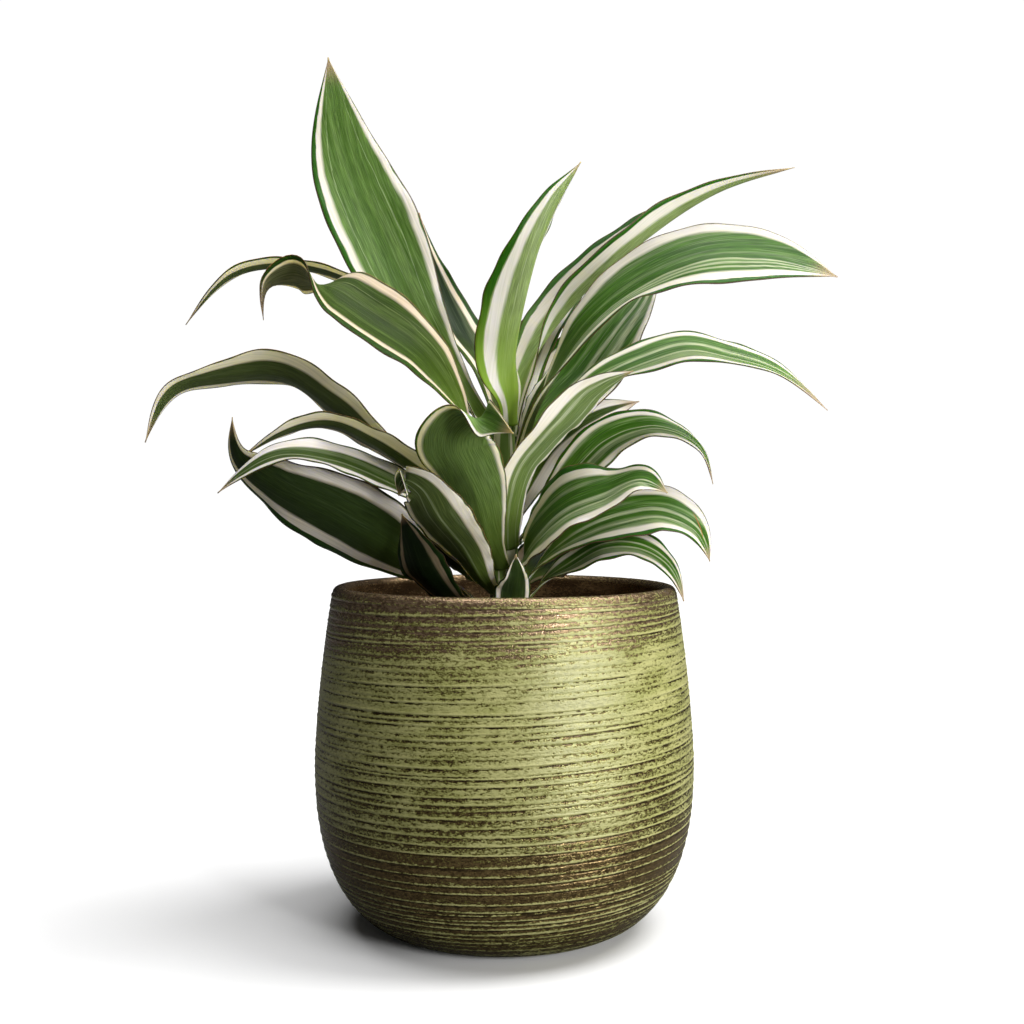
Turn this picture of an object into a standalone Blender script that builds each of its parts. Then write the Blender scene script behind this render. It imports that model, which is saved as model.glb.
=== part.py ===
# A striped corn plant in a ridged glazed pot. Metres, +Z up, the foot's middle at the origin.
import bmesh
import bpy
import numpy as np
from math import cos, pi, radians, sin, sqrt

# Driving dimensions of the pot, in millimetres.
mm = 0.001
pot = dict(
    height=150, footRadius=47, bellyRadius=85, bellyHeight=71, rimRadius=76.5, wall=6, floor=10,
    ridgeGap=7, ridgeDepth=0.6, sides=48,
)
# The soil stops short of the rim and rises a little to the stem.
soil = dict(top=130, middleTop=129, edgeTop=127, clearance=0.3)
# The cane tapers from the soil up. Its foot stands in a plain hole in the soil.
stem = dict(length=96, footRadius=7, tipRadius=4.5, taperLength=95, buried=34, sides=24)
# What all blades share. clearance is how far the middle layer stands off the stem, where the base wraps it
# by up to wrapTurn radians, and opensBy is the share of the length by which the blade has opened out. Fold
# and waves come in over risesBy of the length, and flattening is the share of the fold that the tip has
# lost. valley rounds the fold's crease. tipCurve and tipTaper shape the outline from the widest place to
# the tip, which is leastHalf wide each way. From the middle on, a roll passes to its value at the tip.
blade = dict(
    thickness=0.8, along=19, across=4, clearance=1.1, waveHeight=1.0, waves=2.5, wrapTurn=1.15, opensBy=0.16,
    risesBy=0.3, flattening=0.6, valley=0.2, tipCurve=1.8, tipTaper=1.15, middle=0.4, leastHalf=0.4,
)
plainBlade = dict(base=10, widest=0.45, roll=(0, 0), rollsBy=0.4, twist=(0, 1, 0), fold=14)

# Every leaf: joins is its height above the soil and side the direction it grows in, in degrees from +X. Its
# midrib then passes through the route's points. roll turns the blade about its midrib, in the middle and at
# the tip, and comes in over rollsBy of the length. twist turns the tip further, in degrees, from one share of
# the length to another. fold is how steeply the halves rise, and widest says where along its length the blade
# is at its full width. The plain blade holds what a leaf doesn't state.
leaves = [
    dict(name="leaf_bright", joins=91, side=-40, width=42, base=14, fold=55, widest=0.3,
         route=[(4, -8, 250), (10, -8, 282), (20, -7, 314), (34, -3, 338)]),
    dict(name="leaf_tall_behind", joins=88, side=104, width=22, fold=15,
         route=[(-4, 16, 238), (-22, 50, 271), (-37, 70, 304), (-44, 84, 334)]),
    dict(name="leaf_tall", joins=83, side=120, width=46, base=8, roll=(-12, -12), fold=8, widest=0.6,
         route=[(-8, 12, 222), (-24, 20, 244), (-42, 28, 274), (-58, 39, 308), (-76, 50, 352),
                (-87, 60, 405)]),
    dict(name="leaf_behind_right", joins=70, side=70, width=26,
         route=[(5, 20, 231), (14, 48, 262), (29, 76, 288), (58, 106, 326)]),
    dict(name="leaf_up_right", joins=86, side=54, width=43, base=8, roll=(-25, -25), fold=50,
         route=[(7, 17, 238), (26, 40, 273), (69, 53, 315), (106, 63, 340), (145, 72, 354)]),
    dict(name="leaf_big_right", joins=62, side=-34, width=53, roll=(48, 42), widest=0.66,
         route=[(8, -10, 206), (13, -13, 224), (23, -15, 243), (38, -17, 264), (58, -18, 280), (85, -23, 291),
                (115, -26, 291), (142, -28, 283)]),
    dict(name="leaf_far_left", joins=72, side=178, width=20, base=8, roll=(9, 8), widest=0.6,
         route=[(-14, 3, 226), (-33, 5, 257), (-65, 8, 284), (-97, 18, 295), (-128, 26, 292),
                (-150, 30, 270)]),
    dict(name="leaf_arch_left", joins=61, side=212, width=41, base=8, roll=(-60, -58),
         twist=(0.68, 0.86, 90), widest=0.62,
         route=[(-17, -15, 222), (-37, -26, 252), (-58, -31, 266), (-75, -32, 277), (-91, -30, 283),
                (-101, -27, 279), (-103, -25, 265)]),
    dict(name="leaf_inner_right", joins=74, side=26, width=12, base=7,
         route=[(10, 4, 223), (18, 8, 240), (26, 12, 254), (33, 15, 264)]),
    dict(name="leaf_broad_right", joins=60, side=58, width=46, roll=(20, 20), fold=18, widest=0.42,
         route=[(8, 17, 208), (19, 31, 228), (37, 45, 248), (53, 58, 270), (68, 72, 289), (80, 82, 306)]),
    dict(name="leaf_mid_left", joins=54, side=168, width=36, roll=(34, 12),
         route=[(-16, 3, 196), (-44, 6, 203), (-77, 10, 229), (-103, 12, 245), (-130, 12, 244),
                (-151, 12, 238), (-164, 11, 214)]),
    dict(name="leaf_mid_right", joins=53, side=2, width=32, base=8, roll=(35, 25), rollsBy=0.6,
         widest=0.62,
         route=[(13, 2, 200), (24, 6, 225), (43, 10, 241), (63, 10, 250), (84, 9, 256), (103, 6, 252),
                (122, 4, 246), (145, 1, 228)]),
    dict(name="leaf_diagonal", joins=36, side=-64, width=27, roll=(20, 25), widest=0.6,
         route=[(3, -12, 178), (5, -16, 190), (9, -20, 202), (17, -23, 212), (27, -25, 222), (39, -23, 235),
                (56, -18, 244)]),
    dict(name="leaf_curled_right", joins=46, side=70, width=24, roll=(30, 40), widest=0.6,
         route=[(9, 18, 190), (25, 36, 215), (46, 50, 229), (66, 58, 236)]),
    dict(name="leaf_left_upper", joins=43, side=186, width=26, roll=(20, 20),
         route=[(-18, -4, 188), (-41, -9, 202), (-58, -10, 213), (-76, -9, 221), (-97, -8, 218),
                (-116, -7, 207)]),
    dict(name="leaf_arch_right", joins=38, side=8, width=25, roll=(48, 30),
         route=[(16, 6, 179), (30, 7, 198), (49, 11, 216), (71, 13, 221), (88, 12, 213), (95, 10, 195)]),
    dict(name="leaf_front_mid", joins=27, side=258, width=35, roll=(0, 25), widest=0.62,
         route=[(-6, -18, 168), (-12, -29, 190), (-17, -37, 202), (-20, -43, 209), (-19, -49, 215),
                (-11, -56, 221), (4, -61, 215)]),
    dict(name="leaf_left_lower", joins=34, side=204, width=30, roll=(-32, -25),
         route=[(-17, -7, 176), (-33, -9, 186), (-51, -15, 196), (-73, -24, 205), (-95, -33, 207),
                (-120, -38, 191)]),
    dict(name="leaf_broad_low_right", joins=22, side=-36, width=44, base=12, roll=(50, 40), rollsBy=0.2,
         fold=10, widest=0.47,
         route=[(9, -11, 163), (15, -19, 174), (26, -26, 185), (43, -31, 192), (60, -34, 197),
                (69, -34, 191)]),
    dict(name="leaf_low_arch_right", joins=15, side=-12, width=38, roll=(40, 30), widest=0.6,
         route=[(14, -5, 157), (30, -9, 171), (51, -12, 180), (71, -13, 182), (84, -14, 175),
                (90, -14, 161)]),
    dict(name="leaf_front_left", joins=16, side=238, width=31, roll=(5, 12), widest=0.6,
         route=[(-10, -17, 154), (-18, -30, 168), (-28, -41, 181), (-35, -47, 193), (-40, -46, 196),
                (-44, -39, 190)]),
    dict(name="leaf_shaded", joins=16, side=62, width=30, roll=(20, 20),
         route=[(9, 12, 152), (18, 24, 157), (28, 35, 164), (38, 45, 173)]),
    dict(name="leaf_low_dark_inner", joins=21, side=200, width=16, base=8, roll=(15, 15),
         route=[(-13, -6, 152), (-20, -7, 157), (-27, -8, 163), (-34, -9, 170), (-39, -9, 176)]),
    dict(name="leaf_low_dark", joins=8, side=230, width=28, base=8, widest=0.6,
         route=[(-14, -14, 141), (-26, -24, 147), (-35, -28, 157), (-40, -26, 170), (-44, -24, 182)]),
    dict(name="leaf_low_left", joins=4, side=174, width=48, roll=(57, 46), widest=0.5,
         route=[(-18, 0, 146), (-38, -4, 157), (-58, -11, 170), (-76, -17, 181), (-99, -19, 193),
                (-116, -19, 207), (-118, -18, 224)]),
    dict(name="leaf_lowest_right", joins=7, side=-20, width=23, roll=(35, 35),
         route=[(16, -6, 150), (30, -10, 159), (44, -15, 167), (59, -17, 167), (71, -18, 160),
                (78, -19, 144)]),
    dict(name="leaf_front_short", joins=4, side=290, width=17, widest=0.4,
         route=[(4, -18, 147), (5, -25, 155), (5, -31, 165)]),
]


def paint(name, colour, roughness, metallic=0.0):
    material = bpy.data.materials.new(name)
    material.use_nodes = True
    shader = material.node_tree.nodes["Principled BSDF"]
    shader.inputs["Base Color"].default_value = (*colour, 1)
    shader.inputs["Roughness"].default_value = roughness
    shader.inputs["Metallic"].default_value = metallic
    return material


def addObject(name, mesh, material):
    piece = bpy.data.objects.new(name, mesh)
    bpy.context.collection.objects.link(piece)
    mesh.materials.append(material)
    return piece


def turned(name, outline, sides, material):
    # Spins an outline of (radius, height) points in mm about the upright axis into one closed body.
    shape = bmesh.new()
    points = [shape.verts.new((radius * mm, 0, height * mm)) for radius, height in outline]
    edges = [shape.edges.new(pair) for pair in zip(points, points[1:])]
    bmesh.ops.spin(
        shape, geom=points + edges, cent=(0, 0, 0), axis=(0, 0, 1), angle=2 * pi, steps=sides, use_merge=True)
    bmesh.ops.remove_doubles(shape, verts=shape.verts, dist=0.01 * mm)
    bmesh.ops.recalc_face_normals(shape, faces=shape.faces)
    mesh = bpy.data.meshes.new(name)
    shape.to_mesh(mesh)
    shape.free()
    mesh.shade_smooth()
    mesh.set_sharp_from_angle(angle=radians(40))
    return addObject(name, mesh, material)


def potRadius(height):
    # The belly rises from the foot along a flattened quarter circle, then draws in gently to the rim.
    low = max(0, (pot["bellyHeight"] - height) / pot["bellyHeight"])
    high = max(0, (height - pot["bellyHeight"]) / (pot["height"] - pot["bellyHeight"]))
    swell = sqrt(max(0, 1 - low ** 2.3)) * (pot["bellyRadius"] - pot["footRadius"])
    return pot["footRadius"] + swell - (pot["bellyRadius"] - pot["rimRadius"]) * high ** 1.5


def insideRadius(height):
    # The inner wall follows the outer one, a wall's thickness in and a little higher.
    return potRadius(height - 0.7 * pot["wall"]) - pot["wall"]


def filledHeights():
    # The heights where both the pot's inner wall and the soil against it have a ring of corners, top to
    # bottom.
    return np.linspace(soil["edgeTop"], pot["floor"], 9)


def addPot():
    lip = pot["wall"] / 2
    lipHeight = pot["height"] - lip
    lipRadius = pot["rimRadius"] - lip
    count = int(lipHeight // pot["ridgeGap"])
    # Turned ridges: the radius steps in and out by the ridge depth, half a gap at a time.
    steps = [index * pot["ridgeGap"] / 2 for index in range(1, 2 * count)]
    outside = [(0, 0), (pot["footRadius"], 0)]
    outside += [(potRadius(step) - pot["ridgeDepth"] * (index % 2), step) for index, step in enumerate(steps)]
    turn = [index * pi / 6 for index in range(7)]
    edge = [(lipRadius + lip * cos(angle), lipHeight + lip * sin(angle)) for angle in turn]
    heights = [lipHeight - pot["wall"], *filledHeights()]
    inside = [(insideRadius(height), height) for height in heights] + [(0, pot["floor"])]
    glaze = paint("olive glaze", (0.17, 0.17, 0.06), 0.4)
    turned("pot", outside + edge + inside, pot["sides"], glaze)


def addSoil():
    gap = soil["clearance"]
    hole = stem["footRadius"] + gap
    holeFloor = soil["top"] - stem["buried"] - gap
    top = [(0, holeFloor), (hole, holeFloor), (hole, soil["top"]), (pot["rimRadius"] / 2, soil["middleTop"])]
    side = [(insideRadius(height) - gap, height + gap) for height in filledHeights()]
    earth = paint("soil", (0.03, 0.02, 0.014), 0.95)
    turned("soil", top + side + [(0, pot["floor"] + gap)], pot["sides"], earth)


def stemRadius(height):
    share = min(max(height / stem["taperLength"], 0), 1)
    return stem["footRadius"] + (stem["tipRadius"] - stem["footRadius"]) * share


def addStem():
    heights = np.linspace(0, stem["length"], 9)
    foot = soil["top"] - stem["buried"]
    outline = [(0, foot), (stem["footRadius"], foot)]
    outline += [(stemRadius(height), soil["top"] + height) for height in heights]
    outline += [(0, soil["top"] + stem["length"])]
    turned("stem", outline, stem["sides"], paint("green cane", (0.12, 0.2, 0.05), 0.5))


def ease(share):
    # Rises smoothly from 0 to 1 as share does.
    share = np.clip(share, 0, 1)
    return share * share * (3 - 2 * share)


def smoothRoute(points, count):
    # A smooth curve through the points, with slopes weighed by the distances between them, read at even
    # steps.
    points = np.array(points, float)
    gaps = np.linalg.norm(np.diff(points, axis=0), axis=1)
    knots = np.concatenate([[0], np.cumsum(gaps)])
    chords = np.diff(points, axis=0) / gaps[:, None]
    slopes = np.empty_like(points)
    weighed = chords[:-1] * gaps[1:, None] + chords[1:] * gaps[:-1, None]
    slopes[1:-1] = weighed / (gaps[:-1] + gaps[1:])[:, None]
    slopes[0] = 1.5 * chords[0] - 0.5 * slopes[1]
    slopes[-1] = 1.5 * chords[-1] - 0.5 * slopes[-2]
    place = np.linspace(0, knots[-1], 400)
    span = np.clip(np.searchsorted(knots, place, side="right") - 1, 0, len(gaps) - 1)
    reach = gaps[span][:, None]
    u = ((place - knots[span]) / gaps[span])[:, None]
    curve = points[span] * (1 + 2 * u) * (1 - u) ** 2 + points[span + 1] * u * u * (3 - 2 * u)
    curve += reach * (slopes[span] * u * (1 - u) ** 2 - slopes[span + 1] * u * u * (1 - u))
    run = np.concatenate([[0], np.cumsum(np.linalg.norm(np.diff(curve, axis=0), axis=1))])
    even = np.linspace(0, run[-1], count)
    return np.stack([np.interp(even, run, curve[:, axis]) for axis in range(3)], axis=-1)


def unit(vectors):
    return vectors / np.linalg.norm(vectors, axis=-1)[:, None]


def bladeSurface(leaf, phase):
    # Points (along, across, 3) of the blade's middle layer: s runs from base to tip and t from edge to edge.
    leaf = {**plainBlade, **leaf}
    width, widest = leaf["width"], leaf["widest"]
    base = leaf["base"] / width
    rollMiddle, rollTip = leaf["roll"]
    side = radians(leaf["side"])
    clasp = stemRadius(leaf["joins"]) + blade["clearance"]
    root = (clasp * cos(side), clasp * sin(side), soil["top"] + leaf["joins"])
    middle = smoothRoute([root] + leaf["route"], blade["along"] + 1)
    s = np.linspace(0, 1, blade["along"] + 1)
    t = np.linspace(-1, 1, blade["across"] + 1)[None, :]
    # The frame: forward along the midrib, over to the leaf's left edge and up out of its upper face.
    forward = unit(np.gradient(middle, axis=0))
    left = np.array([-sin(side), cos(side), 0])
    over = unit(left - (forward @ left)[:, None] * forward)
    up = np.cross(forward, over)
    middleTurn = rollMiddle + (rollTip - rollMiddle) * ease((s - blade["middle"]) / (1 - blade["middle"]))
    twistFrom, twistTo, twist = leaf["twist"]
    tipTurn = twist * ease((s - twistFrom) / (twistTo - twistFrom))
    roll = np.radians(middleTurn * ease(s / leaf["rollsBy"]) + tipTurn)[:, None]
    over, up = over * np.cos(roll) + up * np.sin(roll), up * np.cos(roll) - over * np.sin(roll)
    # Half the width: a narrow neck that swells to the widest place and then runs out to a long point.
    swell = base + (1 - base) * np.sin(pi / 2 * np.clip(s / widest, 0, 1)) ** 2
    point = (1 - np.clip((s - widest) / (1 - widest), 0, 1) ** blade["tipCurve"]) ** blade["tipTaper"]
    half = np.maximum(0.5 * width * np.where(s < widest, swell, point), blade["leastHalf"])[:, None]
    # Across: a fold along the midrib that flattens to the tip, and waves that grow to the edges.
    rising = ease(s / blade["risesBy"])
    slope = np.radians(leaf["fold"]) * (rising * (1 - blade["flattening"] * ease(2 * s - 1)))[:, None]
    wave = np.sin(2 * pi * blade["waves"] * s + phase) * rising * ease((1 - s) / blade["risesBy"])
    trough = np.sqrt(t * t + blade["valley"] ** 2) - blade["valley"]
    outward = half * t * np.cos(slope)
    upward = half * trough * np.sin(slope) + blade["waveHeight"] * t * t * wave[:, None]
    # At its base the blade wraps part of the way round the stem, then opens out.
    turn = t * np.minimum(half / clasp, blade["wrapTurn"])
    wrap = (1 - ease(s / blade["opensBy"]))[:, None]
    outward = wrap * clasp * np.sin(turn) + (1 - wrap) * outward
    upward = wrap * clasp * (1 - np.cos(turn)) + (1 - wrap) * upward
    return middle[:, None] + over[:, None] * outward[..., None] + up[:, None] * upward[..., None]


def addLeaf(leaf, phase, material):
    surface = bladeSurface(leaf, phase)
    rows, columns = surface.shape[:2]
    corner = np.arange(rows * columns).reshape(rows, columns)
    a, b, c, d = corner[:-1, :-1], corner[1:, :-1], corner[1:, 1:], corner[:-1, 1:]
    # Both triangles of a cell share one diagonal, so the two faces of the thickened blade stay alike.
    triangles = np.stack([a, c, b, a, d, c], axis=-1).reshape(-1, 3)
    mesh = bpy.data.meshes.new(leaf["name"])
    mesh.from_pydata((surface.reshape(-1, 3) * mm).tolist(), [], triangles.tolist())
    mesh.shade_smooth()
    piece = addObject(leaf["name"], mesh, material)
    thicken = piece.modifiers.new("blade thickness", "SOLIDIFY")
    thicken.thickness = blade["thickness"] * mm
    thicken.offset = 0


for item in list(bpy.data.objects):
    bpy.data.objects.remove(item, do_unlink=True)
addPot()
addSoil()
addStem()
for number, leafPlan in enumerate(leaves):
    green = paint(leafPlan["name"] + " green", (0.08, 0.2, 0.04), 0.4)
    addLeaf(leafPlan, 2.4 * number, green)
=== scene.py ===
import bpy
import numpy as np
from math import cos, pi, radians, sin, tan
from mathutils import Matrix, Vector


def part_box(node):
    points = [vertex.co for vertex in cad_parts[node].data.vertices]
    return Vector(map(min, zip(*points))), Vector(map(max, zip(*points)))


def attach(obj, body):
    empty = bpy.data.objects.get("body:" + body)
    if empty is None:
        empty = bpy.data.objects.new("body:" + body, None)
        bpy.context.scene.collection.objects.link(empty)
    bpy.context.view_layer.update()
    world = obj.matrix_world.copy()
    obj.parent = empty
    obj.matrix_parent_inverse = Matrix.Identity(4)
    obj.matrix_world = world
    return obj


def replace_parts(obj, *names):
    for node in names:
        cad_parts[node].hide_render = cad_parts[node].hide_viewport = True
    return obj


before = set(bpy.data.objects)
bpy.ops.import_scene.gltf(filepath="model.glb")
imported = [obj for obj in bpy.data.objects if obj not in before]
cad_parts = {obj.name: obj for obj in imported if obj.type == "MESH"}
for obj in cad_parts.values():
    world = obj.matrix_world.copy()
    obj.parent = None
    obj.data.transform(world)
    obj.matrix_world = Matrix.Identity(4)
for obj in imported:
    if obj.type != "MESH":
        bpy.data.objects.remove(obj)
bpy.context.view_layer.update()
print("frame loaded")

mm = 0.001
scene = bpy.context.scene

# The camera stands a little above the rim and looks very slightly down, as the photograph was taken.
lens = dict(place=(3.4, -585, 192), pitch=0.93, focal=45.88, sensor=36)
camera = bpy.data.objects.new("camera", bpy.data.cameras.new("camera"))
scene.collection.objects.link(camera)
camera.location = [value * mm for value in lens["place"]]
camera.rotation_euler = (radians(90 - lens["pitch"]), 0, 0)
camera.data.lens = lens["focal"]
camera.data.sensor_width = lens["sensor"]
scene.camera = camera


def linear(hexColour):
    # sRGB hex to linear: the low end is a straight line and the rest a 2.4 power.
    parts = [int(hexColour[index:index + 2], 16) / 255 for index in (1, 3, 5)]
    return (*[part / 12.92 if part < 0.04045 else ((part + 0.055) / 1.055) ** 2.4 for part in parts], 1)


def ease(share):
    # Rises smoothly from 0 to 1 as share does.
    share = np.clip(share, 0, 1)
    return share * share * (3 - 2 * share)


def bump(distance, width):
    # A bell of height 1 over the distance from its middle.
    return np.exp(-(distance / width) ** 2)


def unit(vectors):
    # Each vector divided by its length.
    return vectors / np.linalg.norm(vectors, axis=-1)[..., None]


def lattice(places, seed):
    # Smooth noise from 0 to 1 at (n, 3) places: random values on a unit lattice, eased in between.
    table = np.random.default_rng(seed).random(4096)
    cell = np.floor(places).astype(int)
    part = ease(places - cell)
    total = 0
    for corner in np.ndindex(2, 2, 2):
        at = cell + corner
        value = table[(at[..., 0] * 73 + at[..., 1] * 179 + at[..., 2] * 283) % len(table)]
        share = np.where(np.array(corner) == 1, part, 1 - part).prod(axis=-1)
        total = total + value * share
    return total


# Making pieces

def newPiece(name, points, faces, material, values={}):
    # Puts arrays of points in mm and faces into a smooth mesh that rides on the body. Each of values is
    # an attribute, with one number for each point.
    mesh = bpy.data.meshes.new(name)
    mesh.from_pydata((points * mm).tolist(), [], faces)
    for label, numbers in values.items():
        mesh.attributes.new(label, "FLOAT", "POINT").data.foreach_set("value", numbers.astype(np.float32))
    mesh.shade_smooth()
    mesh.materials.append(material)
    piece = bpy.data.objects.new(name, mesh)
    scene.collection.objects.link(piece)
    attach(piece, "root")
    return piece


def fullTurn(columns):
    # One row of angles, in even steps once round.
    return np.linspace(0, 2 * pi, columns, endpoint=False)[None, :]


def turnedPoints(radius, height, angle, low, high):
    # Points of a turned body from its radius and height at each row and angle, between two poles.
    ring = np.stack([radius * np.cos(angle), radius * np.sin(angle), height + 0 * angle], axis=-1)
    return np.concatenate([[(0, 0, low)], ring.reshape(-1, 3), [(0, 0, high)]])


def turnedFaces(rows, columns):
    # Faces of a turned body: bands of quads that close on themselves, and a fan at each pole.
    ring = np.arange(rows * columns).reshape(rows, columns) + 1
    following = np.roll(ring, -1, axis=1)
    bands = np.stack([ring[:-1], following[:-1], following[1:], ring[1:]], axis=-1).reshape(-1, 4)
    pole = np.zeros(columns, int)
    start = np.stack([pole, following[0], ring[0]], axis=-1)
    end = np.stack([pole + rows * columns + 1, ring[-1], following[-1]], axis=-1)
    return bands.tolist() + start.tolist() + end.tolist()


def withPoles(values, shape):
    # Values over a turned body's rows and angles, as one list with 0 at each pole.
    return np.concatenate([[0], np.broadcast_to(values, shape).ravel(), [0]])


# Making materials

def newMaterial(name, **constants):
    # A material with one principled shader, whose inputs start from the constants given.
    material = bpy.data.materials.new(name)
    material.use_nodes = True
    shader = material.node_tree.nodes["Principled BSDF"]
    for label, value in constants.items():
        shader.inputs[label.replace("_", " ")].default_value = value
    return material, material.node_tree, shader


def addNode(tree, kind, inputs={}, output=0, **settings):
    # Adds one node with its settings. Each input, by name or number, gets a number, a hex colour or
    # another node's output, to which it is linked. Gives the output asked for.
    node = tree.nodes.new("ShaderNode" + kind)
    for label, value in settings.items():
        setattr(node, label, value)
    for label, value in inputs.items():
        if isinstance(value, bpy.types.NodeSocket):
            tree.links.new(value, node.inputs[label])
        else:
            node.inputs[label].default_value = linear(value) if isinstance(value, str) else value
    return node.outputs[output]


def grain(tree, place, size, detail=2.0, stretch=(1, 1, 1), roughness=0.5):
    # Noise from 0 to 1 with features of about size mm, drawn out along each axis by stretch.
    scale = [1 / (size * mm * factor) for factor in stretch]
    place = addNode(tree, "Mapping", {"Vector": place, "Scale": scale})
    return addNode(tree, "TexNoise",
                   {"Vector": place, "Scale": 1.0, "Detail": detail, "Roughness": roughness})


def weigh(tree, first, *parts):
    # first plus each part's value less its middle, times its weight.
    for value, weight, middle in parts:
        first = addNode(tree, "Math", {0: first, 1: -weight * middle}, operation="ADD")
        first = addNode(tree, "Math", {0: value, 1: weight, 2: first}, operation="MULTIPLY_ADD")
    return first


def away(tree, value, middle):
    # How far a value is from a middle one, on either side.
    step = addNode(tree, "Math", {0: value, 1: middle}, operation="SUBTRACT")
    return addNode(tree, "Math", {0: step}, operation="ABSOLUTE")


def layer(tree, under, over, pattern, low, high, least=0, most=1):
    # Lays one colour over another, smoothly from least to most as the pattern goes from low to high.
    cover = addNode(tree, "MapRange", {0: pattern, 1: low, 2: high, 3: least, 4: most},
                    interpolation_type="SMOOTHSTEP")
    return addNode(tree, "Mix", {0: cover, 6: under, 7: over}, 2, data_type="RGBA")


def giveSkin(tree, shader, colour, height, depth):
    # Gives a surface its colour, and a bump that lifts a height of 1 by depth mm. Shallow bumps are also
    # weaker: the strength is the same number.
    relief = addNode(tree, "Bump", {"Height": height, "Strength": depth, "Distance": depth * mm})
    tree.links.new(colour, shader.inputs["Base Color"])
    tree.links.new(relief, shader.inputs["Normal"])


# The pot

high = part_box("pot")[1]
# bold is the stretch of the wall, in mm up, where the thrown lines are strong and steady. They begin at
# firstLine, wander by up to so many mm once round and three times round, and fade out over fadeFoot and
# fadeRim, with a plain strip under the rim. unevenness is how far the wall falls in from the plain shape,
# each way from its mean.
pot = dict(
    height=high.z / mm, bellyRadius=high.x / mm, footRadius=47, bellyHeight=71, rimRadius=76.5, wall=6,
    floor=10, footRound=1.5, columns=180, rowGap=0.34, footRows=4, lipRows=12, insideRows=14,
    tilt=2.0, levelBelowRim=12, lineWidth=0.4, widthRange=(0.8, 1.3), strengthRange=(0.35, 1.15),
    wander=(0.45, 0.2), firstLine=2.5, ridgeHeight=0.24, grooveDepth=0.32, bold=(15, 56),
    fadeFoot=5, fadeRim=4, plainRim=1.5, unevenness=0.25, seed=11,
)
# Zones up the wall: the height in mm where each ends, how thick the green lies there, and the least and
# greatest gap between its lines.
glazeZones = [(17, 0.4, 1.9, 3.2), (30, 0.24, 2.0, 2.9), (49, 0.18, 3.4, 4.8), (58, 0.52, 2.4, 4.4),
              (112, 0.74, 1.9, 4.2), (124, 0.68, 1.7, 3.6), (135, 0.5, 1.7, 3.4), (146, 0.4, 2.2, 3.4),
              (160, 0.05, 2.4, 3.4)]


def potRadius(height):
    # The belly rises from the foot along a flattened quarter circle, then draws in gently to the rim.
    belly = pot["bellyHeight"]
    lowShare = np.clip((belly - height) / belly, 0, 1)
    highShare = np.clip((height - belly) / (pot["height"] - belly), 0, 1)
    swell = np.sqrt(1 - lowShare ** 2.3) * (pot["bellyRadius"] - pot["footRadius"])
    return pot["footRadius"] + swell - (pot["bellyRadius"] - pot["rimRadius"]) * highShare ** 1.5


def insideRadius(height):
    # The outside's radius a little lower, less the wall.
    return potRadius(height - 0.7 * pot["wall"]) - pot["wall"]


def turnedLines(height, angle):
    # Thrown lines: uneven rings, each a fine ridge over a groove, that wander a little and come and go
    # round the pot. Low on the belly they are strong and steady. Gives the relief in mm, the ridges' and
    # grooves' shares, and how near a groove each place is, where pits gather.
    draw = np.random.default_rng(pot["seed"])
    relief, ridges, grooves, rows = np.zeros((4, *np.broadcast_shapes(height.shape, angle.shape)))
    place = pot["firstLine"]
    while place < pot["height"] + 6:
        waves = [np.sin(turns * angle + draw.uniform(0, 2 * pi)) for turns in (1, 3, 2, 5, 9)]
        strength = (0.7 + 0.3 * waves[2] * waves[3] + 0.2 * waves[4]) * draw.uniform(*pot["strengthRange"])
        if pot["bold"][0] < place < pot["bold"][1]:
            strength = 0.9 + 0.15 * waves[2] * waves[3]
        line = place + pot["wander"][0] * waves[0] + pot["wander"][1] * waves[1]
        width = pot["lineWidth"] * draw.uniform(*pot["widthRange"])
        ridge = strength * bump(height - line, width)
        groove = strength * bump(height - line + 1.9 * width, 0.9 * width)
        relief += pot["ridgeHeight"] * ridge - pot["grooveDepth"] * groove
        ridges += ridge
        grooves += groove
        rows += bump(height - line + 3 * width, 0.8)
        gaps = next(zone[2:] for zone in glazeZones if place < zone[0] or zone is glazeZones[-1])
        place += draw.uniform(*gaps)
    return relief, ridges, grooves, rows


def glazeCover(level, angle):
    # How thickly the green glaze lies: by zone, with soft changes, and thicker on the right by the rim.
    middles = [0] + [zone[0] - 3 for zone in glazeZones]
    cover = np.interp(level, middles, [glazeZones[0][1]] + [zone[1] for zone in glazeZones])
    return cover + 0.07 * np.cos(angle - radians(-20)) * ease((level - 95) / 40)


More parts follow.
